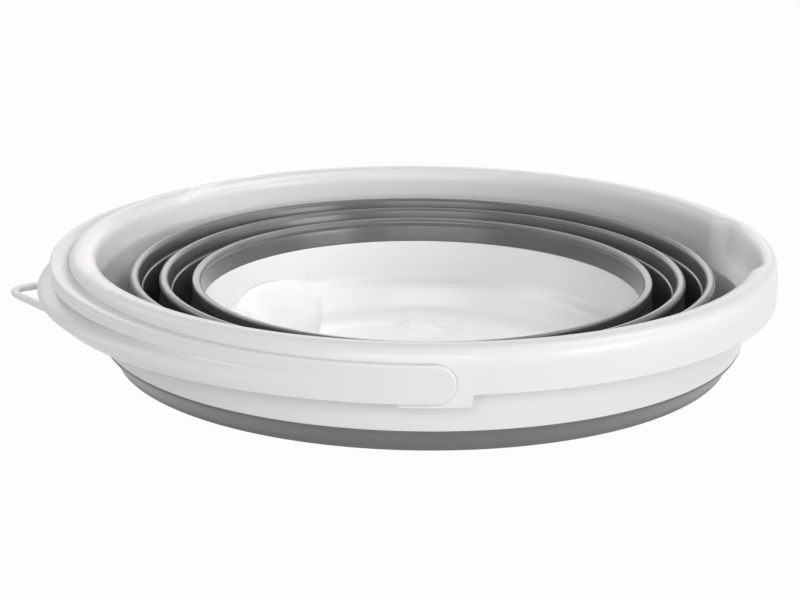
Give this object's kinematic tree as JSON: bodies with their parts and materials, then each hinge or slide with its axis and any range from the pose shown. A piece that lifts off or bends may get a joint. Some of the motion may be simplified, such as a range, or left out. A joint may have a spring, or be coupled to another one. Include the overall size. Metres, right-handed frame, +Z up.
{
  "type": "collapsible bucket",
  "caption": "Round collapsible bucket folded flat: rolled rim with pouring lip and hanging eye, hinged bail handle, folding rubber bellows and a stepped base cup.",
  "frame": {"origin": "on the bucket's axis, on the flat underside of the base cup", "axes": "+Z up along the bucket's axis, +X towards the pouring lip, -X towards the hanging eye and the folded handle, Y along the handle's pivot axis"},
  "size_m": [0.3474, 0.3262, 0.0684],
  "materials": {
    "white_plastic": "smooth moulded polypropylene, soft gloss",
    "grey_rubber": "satin thermoplastic rubber"
  },
  "bodies": {
    "base": {"base_cup": "white_plastic", "inner_band": "grey_rubber"},
    "ring_2": {"fold_ring_2": "grey_rubber", "fold_panel_3": "grey_rubber"},
    "ring_1": {"fold_ring_1": "grey_rubber", "fold_panel_2": "grey_rubber"},
    "collar": {"rim_collar": "white_plastic", "outer_band": "grey_rubber", "fold_panel_1": "grey_rubber"},
    "handle": {"bail_handle": "white_plastic"}
  },
  "joints": [
    {"name": "inner_fold", "type": "slide", "parent": "base", "child": "ring_2", "axis": [0, 0, 1], "range_m": [0, 0.07], "deforming": ["fold_panel_3"]},
    {"name": "middle_fold", "type": "slide", "parent": "ring_2", "child": "ring_1", "axis": [0, 0, 1], "range_m": [0, 0.07], "deforming": ["fold_panel_2"]},
    {"name": "outer_fold", "type": "slide", "parent": "ring_1", "child": "collar", "axis": [0, 0, 1], "range_m": [0, 0.07], "deforming": ["fold_panel_1"]},
    {"name": "handle_swing", "type": "hinge", "parent": "collar", "child": "handle", "pos_m": [0, 0, 0.0544], "axis": [0, 1, 0], "range_deg": [0, 180]}
  ]
}
